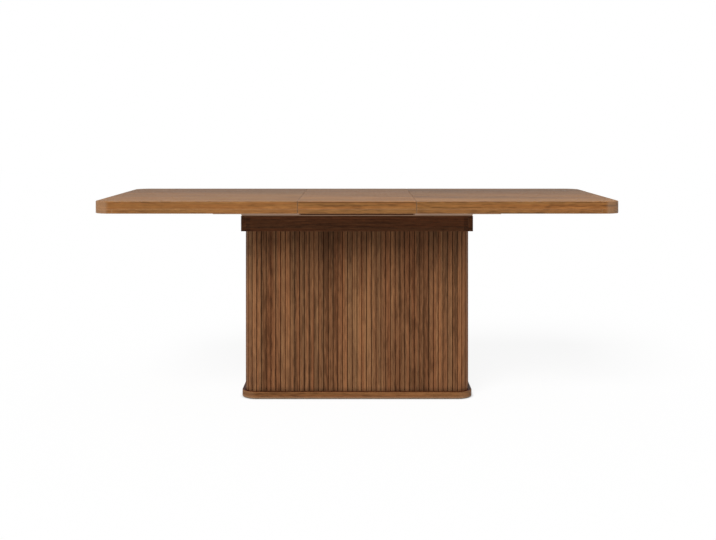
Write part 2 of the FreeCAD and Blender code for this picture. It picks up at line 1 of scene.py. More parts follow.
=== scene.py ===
import math
import bpy
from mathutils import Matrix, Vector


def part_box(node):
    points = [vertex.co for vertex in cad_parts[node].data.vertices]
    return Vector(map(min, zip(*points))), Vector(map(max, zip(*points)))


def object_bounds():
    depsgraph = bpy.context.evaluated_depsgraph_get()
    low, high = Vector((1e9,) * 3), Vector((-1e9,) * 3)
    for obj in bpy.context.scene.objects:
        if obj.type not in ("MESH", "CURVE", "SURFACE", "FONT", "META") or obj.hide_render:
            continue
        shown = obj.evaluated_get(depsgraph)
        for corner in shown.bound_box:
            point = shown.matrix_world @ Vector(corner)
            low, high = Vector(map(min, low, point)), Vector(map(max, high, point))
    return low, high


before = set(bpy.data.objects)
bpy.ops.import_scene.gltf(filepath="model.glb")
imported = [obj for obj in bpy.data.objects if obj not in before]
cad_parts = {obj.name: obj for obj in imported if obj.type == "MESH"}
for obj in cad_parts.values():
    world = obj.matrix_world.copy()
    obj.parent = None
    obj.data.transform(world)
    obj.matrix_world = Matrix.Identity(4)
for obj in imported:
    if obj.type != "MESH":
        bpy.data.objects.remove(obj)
cad_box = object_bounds()

# Camera: the picture is measured in pixels, the sensor in millimetres, height and distance in metres
PICTURE_WIDTH = 716
PICTURE_HEIGHT = 540
HORIZON_ROW = 126.5
CENTRE_COLUMN = 357.0
FOCAL_PIXELS = 1066.7
SENSOR_MM = 36.0
CAMERA_HEIGHT = 1.0298
CAMERA_DISTANCE = 4.237

# Light: a dim dome and a broad key from the front left. A white surface that faces up comes out at about 1.
DOME_SIDE = 0.24
DOME_RISE = 0.12
KEY_STRENGTH = 3.05
KEY_ELEVATION = math.radians(44)
KEY_AZIMUTH = math.radians(-22)
KEY_SPREAD = math.radians(32)
WHITE = (1.0, 1.0, 1.0, 1.0)

# Floor: FLOOR_SHARE of what is seen of it is lit paint, the rest is a white glow that fades near the
# table's base as a painted contact shadow
FLOOR_SIZE = 40.0
FLOOR_PALE = 0.72
FLOOR_VARIATION = 0.01
FLOOR_SPECKLE = (40.0, 40.0)
FLOOR_SHARE = 0.14
CONTACT_REACH = 0.013
CONTACT_SAMPLES = 8

# Wood colours in linear light: pale, middle and dark
TOP_TONES = ((0.365, 0.168, 0.050), (0.262, 0.116, 0.032), (0.130, 0.056, 0.015))
EDGE_TONES = ((0.340, 0.148, 0.042), (0.250, 0.104, 0.028), (0.130, 0.051, 0.013))
PLINTH_TONES = ((0.262, 0.108, 0.040), (0.192, 0.078, 0.027), (0.100, 0.039, 0.0135))
SLAT_TONES = ((0.262, 0.119, 0.051), (0.182, 0.080, 0.035), (0.097, 0.041, 0.017))
DARK_TONES = ((0.172, 0.064, 0.025), (0.121, 0.044, 0.017), (0.064, 0.023, 0.009))
BOARD_TONES = ((0.300, 0.165, 0.090), (0.245, 0.130, 0.070), (0.180, 0.090, 0.048))
BEARER_TONES = ((0.100, 0.037, 0.014), (0.067, 0.024, 0.009), (0.038, 0.013, 0.005))
CORE_TONES = ((0.080, 0.025, 0.006), (0.055, 0.017, 0.004), (0.035, 0.011, 0.003))
TONE_NAMES = ("Pale", "Middle", "Dark")

# Tints, which multiply a colour. The groove tint and the line tint round the slats' feet are painted shade.
REDDISH = (1.05, 0.97, 0.92, 1.0)
YELLOWISH = (0.96, 1.03, 1.05, 1.0)
LINE_PAINTED_SHADE = (0.17, 0.04, 0.003, 1.0)
GROOVE_PAINTED_SHADE = (0.54, 0.20, 0.01, 1.0)
SEAM_STAIN = (0.40, 0.22, 0.08, 1.0)
BARE = (1.0, 1.0, 1.0, 1.0)

# Colours a wood colour is mixed towards: worn edges, which on the top, its edging and the slats are painted
# highlights as well; painted highlights round rounded corners; and a painted reflection of the floor along
# the plinth's bottom
WORN_AND_SHEEN_PALE = (0.42, 0.26, 0.15, 1.0)
SLAT_WORN_AND_SHEEN = (0.34, 0.16, 0.066, 1.0)
FLOOR_REFLECTION_PALE = (0.285, 0.192, 0.115, 1.0)
CORNER_SHEEN_PALE = (0.37, 0.265, 0.180, 1.0)

# Wear along edges, and on the top, its edging and the slats painted highlights along the rounded edges as
# well: width in metres, share and colour
LIGHT_WEAR = (0.0025, 0.14, WORN_AND_SHEEN_PALE)
TOP_WEAR_AND_SHEEN = (0.005, 0.3, WORN_AND_SHEEN_PALE)
EDGING_WEAR_AND_SHEEN = (0.005, 0.25, WORN_AND_SHEEN_PALE)
SLAT_WEAR_AND_SHEEN = (0.0015, 0.15, SLAT_WORN_AND_SHEEN)

# Ranges over which a face's direction counts, from not at all to in full
LYING_RANGE = (0.55, 0.85)
UPWARD_RANGE = (0.60, 0.92)
BENT_RANGE = (0.03, 0.22)
SEAM_RANGE = (0.80, 0.95)
WEAR_AND_SHEEN_RANGE = (0.995, 0.88)

# Seams lie within SEAM_REACH metres of the middle of the table
SEAM_REACH = 0.5
BEVEL_SAMPLES = 4

# Ranges of noise that are spread over a whole scale
NARROW_NOISE = (0.3, 0.7)
MOST_NOISE = (0.25, 0.75)
WIDE_NOISE = (0.2, 0.8)


class Nodes:
    """A node tree written as nested calls, each of which gives back an output."""

    def __init__(self, tree):
        self.tree = tree

    def add(self, kind, inputs, **settings):
        """A node whose inputs are linked to outputs or set to values."""
        node = self.tree.nodes.new(kind)
        for name, setting in settings.items():
            setattr(node, name, setting)
        for key, value in inputs.items():
            if isinstance(value, bpy.types.NodeSocket):
                self.tree.links.new(value, node.inputs[key])
            else:
                node.inputs[key].default_value = value
        return node

    def math(self, operation, first, second=0.0, third=0.0):
        inputs = {0: first, 1: second, 2: third}
        return self.add("ShaderNodeMath", inputs, operation=operation).outputs[0]

    def apart(self, value, level):
        """How far a value is from a level."""
        return self.math("ABSOLUTE", self.math("SUBTRACT", value, level))

    def beyond(self, value, limit):
        """How far a value is past a limit on either side of 0."""
        return self.math("SUBTRACT", self.math("ABSOLUTE", value), limit)

    def vector(self, x, y, z):
        return self.add("ShaderNodeCombineXYZ", {0: x, 1: y, 2: z}).outputs[0]

    def split(self, vector):
        return self.add("ShaderNodeSeparateXYZ", {0: vector}).outputs

    def noise(self, place, scale, detail=2.0, roughness=0.5):
        """Noise with its own scale, in turns a metre, along X and across it."""
        along, across = scale
        stretch = {0: place, 1: (along, across, across)}
        stretched = self.add("ShaderNodeVectorMath", stretch, operation="MULTIPLY").outputs[0]
        inputs = {"Vector": stretched, "Scale": 1.0, "Detail": detail, "Roughness": roughness}
        return self.add("ShaderNodeTexNoise", inputs).outputs[0]

    def random(self, number):
        return self.add("ShaderNodeTexWhiteNoise", {"W": number}, noise_dimensions="1D").outputs[0]

    def remap(self, value, low, high, to_low=0.0, to_high=1.0):
        inputs = {0: value, 1: low, 2: high, 3: to_low, 4: to_high}
        return self.add("ShaderNodeMapRange", inputs, interpolation_type="SMOOTHSTEP").outputs[0]

    def mix(self, factor, first, second):
        inputs = {0: factor, 6: first, 7: second}
        return self.add("ShaderNodeMix", inputs, data_type="RGBA").outputs[2]

    def mix_vector(self, factor, first, second):
        inputs = {0: factor, 4: first, 5: second}
        return self.add("ShaderNodeMix", inputs, data_type="VECTOR").outputs[1]

    def tint(self, colour, tint):
        inputs = {0: 1.0, 6: colour, 7: tint}
        return self.add("ShaderNodeMix", inputs, data_type="RGBA", blend_type="MULTIPLY").outputs[2]

    def scale_colour(self, colour, factor):
        grey = self.add("ShaderNodeCombineColor", {0: factor, 1: factor, 2: factor})
        return self.tint(colour, grey.outputs[0])

    def place(self):
        return self.add("ShaderNodeTexCoord", {}).outputs["Object"]

    def normal(self):
        return self.split(self.add("ShaderNodeNewGeometry", {}).outputs["Normal"])

    def lying(self):
        """1 on faces that look up or down, 0 on upright ones."""
        return self.remap(self.math("ABSOLUTE", self.normal()[2]), *LYING_RANGE)

    def bent(self):
        """1 where an upright edge turns a rounded corner, 0 on its straight runs."""
        direction = self.normal()
        turn = self.math("MULTIPLY", direction[0], direction[1])
        return self.remap(self.math("ABSOLUTE", turn), *BENT_RANGE)

    def seam(self):
        """1 on the faces that meet at the seams of the top, 0 elsewhere."""
        sideways = self.remap(self.math("ABSOLUTE", self.normal()[0]), *SEAM_RANGE)
        from_middle = self.math("ABSOLUTE", self.split(self.place())[0])
        return self.math("MULTIPLY", sideways, self.math("LESS_THAN", from_middle, SEAM_REACH))

    def edge_wear_and_sheen(self, width):
        """1 on edges and corners, 0 on flat faces."""
        rounded = self.add("ShaderNodeBevel", {"Radius": width}, samples=BEVEL_SAMPLES).outputs[0]
        true = self.add("ShaderNodeNewGeometry", {}).outputs["True Normal"]
        aligned = self.add("ShaderNodeVectorMath", {0: rounded, 1: true}, operation="DOT_PRODUCT")
        return self.remap(aligned.outputs["Value"], *WEAR_AND_SHEEN_RANGE)


def new_material(name):
    material = bpy.data.materials.new(name)
    material.use_nodes = True
    material.node_tree.nodes.clear()
    return material, Nodes(material.node_tree)


def surface(nodes, inputs):
    """The shader and the output of a material."""
    shader = nodes.add("ShaderNodeBsdfPrincipled", inputs)
    nodes.add("ShaderNodeOutputMaterial", {"Surface": shader.outputs[0]})


def bump(nodes, height, depth):
    return nodes.add("ShaderNodeBump", {"Height": height, "Distance": depth, "Strength": 1.0}).outputs[0]


# Walnut: rings, streaks, flecks, fibre and pores. A tone runs from 0 for dark to 1 for pale wood.
MIDDLE_TONE = 0.5
RINGS_PER_METRE = 26.0
RING_WARP = 9.0
WARP_SCALE = (1.3, 7.0)
LATE_WOOD_RISE = (0.35, 0.86)
LATE_WOOD_FALL = (0.9, 1.0)
LATE_WOOD_TONE = -0.22
EARLY_WOOD_TONE = 0.08
STREAK_SCALE = (2.2, 120.0)
STREAK_TONE = 0.30
BROAD_SCALE = (0.9, 14.0)
BROAD_TONE = 0.24
FLECK_SCALE = (26.0, 170.0)
FLECK_TONE = 0.2
HUE_SCALE = (1.6, 70.0)
FIBRE_SCALE = (12.0, 800.0)
FIBRE_SHADE = (0.88, 1.12)
PORE_SCALE = (45.0, 1900.0)
PORE_RANGE = (0.62, 0.72)
PORE_SHADE = -0.22
PORE_HEIGHT = -0.7

# Lacquer: how much rougher and smoother it is over low and high grain, and the depth of the grain in metres
LOW_ROUGHER = 0.10
HIGH_SMOOTHER = 0.06
GRAIN_DEPTH = 0.00025


def add_sockets(group, in_out, kind, names):
    for name in names:
        group.interface.new_socket(name, in_out=in_out, socket_type=kind)


def walnut_tone(nodes, given):
    """How pale the wood is, from its tone, its figure and its flecks."""
    place = given["Place"]
    warp = nodes.math("MULTIPLY", nodes.noise(place, WARP_SCALE), RING_WARP)
    ring = nodes.math("FRACT", nodes.math("MULTIPLY_ADD", nodes.split(place)[1], RINGS_PER_METRE, warp))
    rise = nodes.remap(ring, *LATE_WOOD_RISE)
    late_wood = nodes.math("SUBTRACT", rise, nodes.remap(ring, *LATE_WOOD_FALL))
    streak = nodes.noise(place, STREAK_SCALE, detail=3.0, roughness=0.6)
    broad = nodes.noise(place, BROAD_SCALE, detail=1.0)
    fleck = nodes.noise(place, FLECK_SCALE, detail=1.0)

    figure = nodes.math("MULTIPLY_ADD", late_wood, LATE_WOOD_TONE, EARLY_WOOD_TONE)
    figure = nodes.math("ADD", figure, nodes.remap(streak, *MOST_NOISE, -STREAK_TONE, STREAK_TONE))
    figure = nodes.math("ADD", figure, nodes.remap(broad, *MOST_NOISE, -BROAD_TONE, BROAD_TONE))
    tone = nodes.math("ADD", given["Tone"], MIDDLE_TONE)
    tone = nodes.math("MULTIPLY_ADD", figure, given["Figure"], tone)
    return nodes.math("MULTIPLY_ADD", nodes.remap(fleck, *MOST_NOISE, -1.0, 1.0), given["Fleck"], tone)


def walnut_group():
    """A group that gives walnut's colour and grain height, with the grain along X of its place."""
    group = bpy.data.node_groups.new("walnut_figure", "ShaderNodeTree")
    add_sockets(group, "INPUT", "NodeSocketVector", ("Place",))
    add_sockets(group, "INPUT", "NodeSocketColor", TONE_NAMES)
    add_sockets(group, "INPUT", "NodeSocketFloat", ("Tone", "Figure", "Fleck"))
    add_sockets(group, "OUTPUT", "NodeSocketColor", ("Colour",))
    add_sockets(group, "OUTPUT", "NodeSocketFloat", ("Grain",))
    nodes = Nodes(group)
    given = nodes.add("NodeGroupInput", {}).outputs
    place = given["Place"]

    tone = walnut_tone(nodes, given)
    colour = nodes.mix(nodes.remap(tone, 0.0, MIDDLE_TONE), given["Dark"], given["Middle"])
    colour = nodes.mix(nodes.remap(tone, MIDDLE_TONE, 1.0), colour, given["Pale"])
    hue = nodes.remap(nodes.noise(place, HUE_SCALE, detail=1.0), *NARROW_NOISE)
    colour = nodes.tint(colour, nodes.mix(hue, REDDISH, YELLOWISH))
    fibre = nodes.noise(place, FIBRE_SCALE)
    pore = nodes.remap(nodes.noise(place, PORE_SCALE, detail=0.0), *PORE_RANGE)
    shade = nodes.remap(fibre, *WIDE_NOISE, *FIBRE_SHADE)
    shade = nodes.math("MULTIPLY", shade, nodes.math("MULTIPLY_ADD", pore, PORE_SHADE, 1.0))
    grain = nodes.math("MULTIPLY_ADD", pore, PORE_HEIGHT, fibre)
    nodes.add("NodeGroupOutput", {0: nodes.scale_colour(colour, shade), 1: grain})
    return group


WALNUT = walnut_group()


def walnut(nodes, place, tones, tone=0.0, figure=1.0, fleck=FLECK_TONE):
    """Colour and grain height of walnut at a place whose X runs along the grain."""
    inputs = {"Place": place, "Tone": tone, "Figure": figure, "Fleck": fleck}
    for name, colour in zip(TONE_NAMES, tones):
        inputs[name] = (*colour, 1.0)
    group = nodes.add("ShaderNodeGroup", inputs, node_tree=WALNUT)
    return group.outputs["Colour"], group.outputs["Grain"]


def finish_wood(nodes, colour, grain, roughness=0.48, specular=0.2, wear_and_sheen=LIGHT_WEAR, stain_and_shade=BARE, dull=0.0):
    """Satin lacquer over the wood, paler along its edges and without gloss where it is dull. The pale edges
    are wear, and on the top, its edging and the slats painted highlights as well; the stain tint carries
    real stains and painted shade.
    """
    width, share, worn_and_sheen = wear_and_sheen
    # Edge wear, and on the top, edging and slats a painted highlight too.
    rubbed_and_sheen = nodes.math("MULTIPLY", nodes.edge_wear_and_sheen(width), share)
    rough = nodes.remap(grain, 0.0, 1.0, roughness + LOW_ROUGHER, roughness - HIGH_SMOOTHER)
    inputs = {
        "Base Color": nodes.tint(nodes.mix(rubbed_and_sheen, colour, worn_and_sheen), stain_and_shade),
        "Roughness": nodes.math("MAXIMUM", rough, dull),
        "Specular IOR Level": specular,
        "Normal": bump(nodes, grain, GRAIN_DEPTH),
    }
    surface(nodes, inputs)


def edging_place(nodes, x, y, z, seed):
    """A place whose X follows the edge on upright faces and runs along the table on lying ones."""
    upright = nodes.vector(nodes.math("ADD", x, y), z, seed)
    return nodes.mix_vector(nodes.lying(), upright, nodes.vector(x, y, seed))


def paint_corner_sheen(nodes, colour, share, pale):
    """A painted highlight: the colour of an edge, mixed a little towards a pale one round its rounded
    corners.
    """
    return nodes.mix(nodes.math("MULTIPLY", nodes.bent(), share), colour, pale)


# Top: the wood of each piece has a seed, a dark line under its arris, and shifts of tone on edge and face
TOPS = {
    "left": {"panel": "left_top_panel", "seed": 12.7, "line": 0.1, "edge": -0.03, "face": -0.02},
    "leaf": {"panel": "leaf_panel", "seed": 28.1, "line": 0.65, "edge": -0.20, "face": 0.05},
    "right": {"panel": "right_top_panel", "seed": 37.0, "line": 0.1, "edge": -0.18, "face": -0.06},
}

# Top faces: planks in metres, their spread of tone, the strength of their figure and the painted shade at
# the back, which darkens the colour towards the back
PLANK_WIDTH = 0.2
PLANK_SHIFT = 7.0
PLANK_SPREAD = 0.14
TOP_FIGURE = 0.9
FACE_FLECK = 0.06
PAINTED_BACK_SHADE = 0.5

# Top edges: the arris line and the band about the joint, with half widths in metres and shifts of tone, and
# the share of painted highlight round the corners
EDGE_FIGURE = 0.85
ARRIS_LINE_DEPTH = 0.0035
ARRIS_LINE_HALF = 0.003
ARRIS_LINE_CORE = 0.0012
ARRIS_PATCH_SCALE = (3.0, 40.0)
ARRIS_PATCH_RANGE = (0.3, 0.6)
ARRIS_PATCH_LEAST = 0.4
BAND_HALF = 0.008
BAND_CORE = 0.002
BAND_TONE = 0.14
BAND_BASE = -0.04
CORNER_SHEEN_SHARE = 0.3


def finish_top(nodes, colour, grain, specular, wear_and_sheen):
    """The finish of the top and its edging. The faces that meet at a seam are stained dark and dull."""
    seam = nodes.seam()
    stain_and_shade = nodes.mix(seam, BARE, SEAM_STAIN)
    finish_wood(nodes, colour, grain, roughness=0.5, specular=specular, wear_and_sheen=wear_and_sheen, stain_and_shade=stain_and_shade, dull=seam)


def edge_band(nodes, z, shift):
    """Tone along the edge of the top, which is a little paler about the joint of panel and strip."""
    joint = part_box("leaf_panel")[0].z
    band = nodes.remap(nodes.apart(z, joint), BAND_CORE, BAND_HALF, BAND_TONE, 0.0)
    return nodes.math("ADD", band, BAND_BASE + shift)


def top_face(nodes, x, y, wood):
    """Planks along the table, darkened towards the back by painted shade."""
    plank = nodes.math("FLOOR", nodes.math("DIVIDE", y, PLANK_WIDTH))
    chance = nodes.random(nodes.math("ADD", plank, wood["seed"]))
    shifted = nodes.math("MULTIPLY_ADD", chance, PLANK_SHIFT, x)
    place = nodes.vector(shifted, y, nodes.math("ADD", chance, wood["seed"]))
    tone = nodes.math("MULTIPLY_ADD", chance, PLANK_SPREAD, wood["face"] - PLANK_SPREAD / 2)
    colour, grain = walnut(nodes, place, TOP_TONES, tone, TOP_FIGURE, FACE_FLECK)
    # Painted shade: the colour is scaled down from the front of the top to its back.
    shade = nodes.remap(y, cad_box[0][1], cad_box[1][1], 1.0, PAINTED_BACK_SHADE)
    return nodes.scale_colour(colour, shade), grain


def top_edge(nodes, x, y, z, wood):
    """Banding that follows the edge round the corners, with a patchy dark line under the arris."""
    place = nodes.vector(nodes.math("ADD", x, y), z, wood["seed"])
    from_line = nodes.apart(z, cad_box[1][2] - ARRIS_LINE_DEPTH)
    line = nodes.remap(from_line, ARRIS_LINE_CORE, ARRIS_LINE_HALF, -wood["line"], 0.0)
    patch = nodes.noise(place, ARRIS_PATCH_SCALE)
    patch = nodes.remap(patch, *ARRIS_PATCH_RANGE, ARRIS_PATCH_LEAST, 1.0)
    tone = nodes.math("MULTIPLY_ADD", line, patch, edge_band(nodes, z, wood["edge"]))
    colour = walnut(nodes, place, EDGE_TONES, tone, EDGE_FIGURE)[0]
    return paint_corner_sheen(nodes, colour, CORNER_SHEEN_SHARE, CORNER_SHEEN_PALE)


def top_material(name, wood):
    """Planks on the faces and banding on the edges. The grain of the faces gives the height of both."""
    material, nodes = new_material(name)
    x, y, z = nodes.split(nodes.place())
    edge = top_edge(nodes, x, y, z, wood)
    face, grain = top_face(nodes, x, y, wood)
    finish_top(nodes, nodes.mix(nodes.lying(), edge, face), grain, specular=0.14, wear_and_sheen=TOP_WEAR_AND_SHEEN)
    return material


def edge_material(name, wood):
    """Edging whose grain follows the edge of the table, in step with the panel above it."""
    material, nodes = new_material(name)
    x, y, z = nodes.split(nodes.place())
    place = edging_place(nodes, x, y, z, wood["seed"])
    colour, grain = walnut(nodes, place, EDGE_TONES, edge_band(nodes, z, wood["edge"]), EDGE_FIGURE)
    colour = paint_corner_sheen(nodes, colour, CORNER_SHEEN_SHARE, CORNER_SHEEN_PALE)
    finish_top(nodes, colour, grain, specular=0.17, wear_and_sheen=EDGING_WEAR_AND_SHEEN)
    return material


# Plinth, housing and boards: marks in metres, with their shares and shifts of tone. The plinth's bottom
# band is a painted reflection of the floor.
PLINTH_SEED = 5.0
PLINTH_CORNER_SHEEN_SHARE = 0.1
REFLECTION_LOW = 0.003
REFLECTION_HIGH = 0.013
REFLECTION_SHARE = 0.6
LINE_WIDTH = 0.0125
LINE_CORE = 0.75 * LINE_WIDTH
HOUSING_SEED = 2.0
END_WIDTH = 0.018
END_FADE = 0.002
END_TONE = -0.3
JOINT_START = -0.001
JOINT_FULL = 0.004
JOINT_END = 0.007
JOINT_TONE = -0.3


def from_column(nodes, x, y):
    """How far a place lies outside the column's outline, a rectangle with rounded corners."""
    flat_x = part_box("core_front_board")[1].x
    flat_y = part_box("core_left_board")[1].y
    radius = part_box("back_slats")[1].y - flat_y
    past_x = nodes.math("MAXIMUM", nodes.beyond(x, flat_x), 0.0)
    past_y = nodes.math("MAXIMUM", nodes.beyond(y, flat_y), 0.0)
    squares = nodes.math("MULTIPLY_ADD", past_x, past_x, nodes.math("MULTIPLY", past_y, past_y))
    return nodes.math("SUBTRACT", nodes.math("SQRT", squares), radius)


def plinth_material():
    """Wood with a dark line of painted shade round the slats' feet, a bottom band of painted floor
    reflection and painted highlights round its corners. Its grain follows the edge.
    """
    material, nodes = new_material("plinth_wood")
    x, y, z = nodes.split(nodes.place())
    place = edging_place(nodes, x, y, z, PLINTH_SEED)
    colour, grain = walnut(nodes, place, PLINTH_TONES, figure=EDGE_FIGURE)
    # Painted reflection: the plinth's bottom band is mixed towards a paler, greyer colour, as the white
    # floor would show in it.
    colour = nodes.mix(nodes.remap(z, REFLECTION_LOW, REFLECTION_HIGH, REFLECTION_SHARE, 0.0), colour, FLOOR_REFLECTION_PALE)
    # Painted highlight round the plinth's rounded corners.
    colour = paint_corner_sheen(nodes, colour, PLINTH_CORNER_SHEEN_SHARE, WORN_AND_SHEEN_PALE)
    # Painted shade: a dark line on the plinth's top, close round the foot of the column.
    line = nodes.remap(from_column(nodes, x, y), LINE_CORE, LINE_WIDTH, 1.0, 0.0)
    on_top = nodes.remap(nodes.normal()[2], *UPWARD_RANGE)
    stain_and_shade = nodes.mix(nodes.math("MULTIPLY", on_top, line), BARE, LINE_PAINTED_SHADE)
    finish_wood(nodes, nodes.tint(colour, stain_and_shade), grain, specular=0.06)
    return material


def housing_material():
    """Dark wood along the table, darker at its ends and along the joint of rails and plate."""
    material, nodes = new_material("dark_wood_long")
    x, y, z = nodes.split(nodes.place())
    place = nodes.vector(x, nodes.math("ADD", y, z), nodes.math("ADD", z, HOUSING_SEED))
    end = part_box("housing_front_rail")[1].x - END_WIDTH
    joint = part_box("housing_front_rail")[0].z
    at_end = nodes.remap(nodes.math("ABSOLUTE", x), end, end + END_FADE, 0.0, END_TONE)
    above = nodes.math("SUBTRACT", z, joint)
    rise = nodes.remap(above, JOINT_START, 0.0)
    fall = nodes.remap(above, JOINT_FULL, JOINT_END, JOINT_TONE, 0.0)
    tone = nodes.math("ADD", at_end, nodes.math("MULTIPLY", rise, fall))
    colour, grain = walnut(nodes, place, DARK_TONES, tone)
    finish_wood(nodes, colour, grain, roughness=0.55, specular=0.08)
    return material


def board_material(name, tones, along, seed):
    """Plain boards with the grain along X, Y or Z."""
    material, nodes = new_material(name)
    x, y, z = nodes.split(nodes.place())
    orders = {"X": (x, y, z), "Y": (y, x, z), "Z": (z, x, y)}
    first, second, third = orders[along]
    place = nodes.vector(first, nodes.math("ADD", second, third), nodes.math("ADD", third, seed))
    colour, grain = walnut(nodes, place, tones)
    finish_wood(nodes, colour, grain, roughness=0.55, specular=0.08)
    return material


# Slats: lengths in metres, and counts
SLAT_PITCH = 0.0181
SLAT_STEP = 0.012
SHEET_SHIFT = 9.0
PAINTED_FOOT_REACH = 0.02
GROOVE_START = -0.0001
GROOVE_FULL = -0.0008
SLATS_PER_SHEET = 7
CORNER_SLATS = 4
CORNER_GAP = 10.0

# Slats: what each random draw adds to a whole number, the spreads of tone and hue, and the painted shade at
# the slats' feet
SHEET_DRAW = 0.61
SLAT_DRAW = 0.37
HUE_DRAW = 0.83
SHEET_SPREAD = 0.38
SLAT_SPREAD = 0.34
HUE_LEAST = 0.2
HUE_SPREAD = 0.6
PAINTED_FOOT_SHADE = 0.72

# Slats: how much of X and of Y runs across the grain
ALONG_X = (1.0, 0.0)
ALONG_Y = (0.0, 1.0)
ROUND_CORNER = (1.0, 1.0)


def paint_groove_shade(nodes, x, y):
    """Painted shade in the grooves: a darker, redder tint that takes hold below the rounded edges of the
    slats.
    """
    in_groove = nodes.remap(from_column(nodes, x, y), GROOVE_FULL, GROOVE_START, 1.0, 0.0)
    return nodes.mix(in_groove, BARE, GROOVE_PAINTED_SHADE)


def slat_material(name, number, across, first, depth, specular=0.08, paler=0.0):
    """Upright slats cut from sheets: the figure runs on through a sheet, and each slat has its own tone.

    The slats are counted from first, which picks their tones.
    Depth is how deep in the log they were cut.
    """
    material, nodes = new_material(name)
    x, y, z = nodes.split(nodes.place())
    index = nodes.math("ADD", number(nodes, x, y), first)
    sheet = nodes.math("FLOOR", nodes.math("DIVIDE", index, SLATS_PER_SHEET))
    sheet_chance = nodes.random(nodes.math("ADD", sheet, SHEET_DRAW))
    slat_chance = nodes.random(nodes.math("ADD", index, SLAT_DRAW))
    hue_chance = nodes.random(nodes.math("ADD", index, HUE_DRAW))

    along_grain = nodes.math("MULTIPLY_ADD", sheet_chance, SHEET_SHIFT, z)
    across_grain = nodes.math("MULTIPLY_ADD", x, across[0], nodes.math("MULTIPLY", y, across[1]))
    in_log = nodes.math("MULTIPLY_ADD", slat_chance, SLAT_STEP, depth)
    sheet_tone = nodes.math("MULTIPLY_ADD", sheet_chance, SHEET_SPREAD, -SHEET_SPREAD / 2)
    slat_tone = nodes.math("MULTIPLY_ADD", slat_chance, SLAT_SPREAD, paler - SLAT_SPREAD / 2)
    place = nodes.vector(along_grain, across_grain, in_log)
    colour, grain = walnut(nodes, place, SLAT_TONES, nodes.math("ADD", sheet_tone, slat_tone))

    hue = nodes.math("MULTIPLY_ADD", hue_chance, HUE_SPREAD, HUE_LEAST)
    colour = nodes.tint(colour, nodes.mix(hue, REDDISH, YELLOWISH))
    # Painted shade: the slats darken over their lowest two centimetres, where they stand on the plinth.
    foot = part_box("front_slats")[0].z
    shade = nodes.remap(z, foot, foot + PAINTED_FOOT_REACH, PAINTED_FOOT_SHADE, 1.0)
    colour = nodes.scale_colour(colour, shade)
    # Painted shade in the grooves between the slats.
    stain_and_shade = paint_groove_shade(nodes, x, y)
    finish_wood(nodes, colour, grain, specular=specular, wear_and_sheen=SLAT_WEAR_AND_SHEEN, stain_and_shade=stain_and_shade)
    return material


def row_number(axis, first, length):
    """Which slat of a straight row a place is on. The pitch is SLAT_PITCH, trimmed to fit the row."""
    pitch = length / round(length / SLAT_PITCH)

    def number(nodes, x, y):
        offset = nodes.math("SUBTRACT", (x, y)[axis], first)
        return nodes.math("FLOOR", nodes.math("DIVIDE", offset, pitch))

    return number


def corner_number(centre_x, centre_y):
    """Which slat of a rounded corner a place is on, counted apart for each corner."""

    def number(nodes, x, y):
        turn = nodes.math("ARCTAN2", nodes.beyond(y, centre_y), nodes.beyond(x, centre_x))
        step = nodes.math("FLOOR", nodes.math("DIVIDE", turn, math.pi / 2 / CORNER_SLATS))
        corner = nodes.math("MULTIPLY_ADD", nodes.math("SIGN", x), CORNER_GAP, nodes.math("SIGN", y))
        return nodes.math("MULTIPLY_ADD", corner, CORNER_GAP, step)

    return number


def slat_materials():
    """The five groups of slats. Slats stand edge to edge over the flat of the core board behind them."""
    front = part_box("core_front_board")
    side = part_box("core_left_board")
    on_front = row_number(0, front[0].x, front[1].x - front[0].x)
    on_side = row_number(1, side[0].y, side[1].y - side[0].y)
    on_corner = corner_number(front[1].x, side[1].y)
    corner = {"first": 2521, "depth": 7.0, "specular": 0.10, "paler": 0.28}
    return {
        "front_slats": slat_material("front_slat_wood", on_front, ALONG_X, first=20322, depth=3.0),
        "back_slats": slat_material("back_slat_wood", on_front, ALONG_X, first=131, depth=4.0),
        "left_slats": slat_material("left_slat_wood", on_side, ALONG_Y, first=257, depth=5.0),
        "right_slats": slat_material("right_slat_wood", on_side, ALONG_Y, first=389, depth=6.0),
        "corner_slats": slat_material("corner_slat_wood", on_corner, ROUND_CORNER, **corner),
    }


# Metal and plastic: colours from dull to bright, scales in turns a metre, depths in metres
RUNNER_BRONZE = ((0.440, 0.300, 0.222, 1.0), (0.525, 0.372, 0.283, 1.0))
TRACK_BRONZE = ((0.295, 0.180, 0.115, 1.0), (0.350, 0.220, 0.145, 1.0))
BRONZE_ROUGHNESS = (0.36, 0.50)
BRUSHED_SCALE = (3.0, 1400.0)
BRUSHED_SHADE = (0.86, 1.06)
BRUSHED_DEPTH = 0.00008
SMUDGE_SCALE = (18.0, 18.0)
STEEL = ((0.42, 0.41, 0.38, 1.0), (0.60, 0.59, 0.57, 1.0))
STEEL_ROUGHNESS = (0.28, 0.45)
STEEL_SCALE = (260.0, 260.0)
PLASTIC = ((0.016, 0.016, 0.017, 1.0), (0.034, 0.033, 0.032, 1.0))
PLASTIC_ROUGHNESS = (0.45, 0.62)
PLASTIC_SCALE = (90.0, 90.0)
SPECK_SCALE = (1500.0, 1500.0)
SPECK_DEPTH = 0.00005


def metal_material(name, bronze):
    """Satin bronze extrusion with fine lines along the table."""
    material, nodes = new_material(name)
    place = nodes.place()
    lines = nodes.noise(place, BRUSHED_SCALE)
    smudge = nodes.noise(place, SMUDGE_SCALE, detail=3.0)
    shade = nodes.remap(lines, *WIDE_NOISE, *BRUSHED_SHADE)
    inputs = {
        "Base Color": nodes.scale_colour(nodes.mix(smudge, *bronze), shade),
        "Metallic": 1.0,
        "Roughness": nodes.remap(smudge, *WIDE_NOISE, *BRONZE_ROUGHNESS),
        "Normal": bump(nodes, lines, BRUSHED_DEPTH),
    }
    surface(nodes, inputs)
    return material


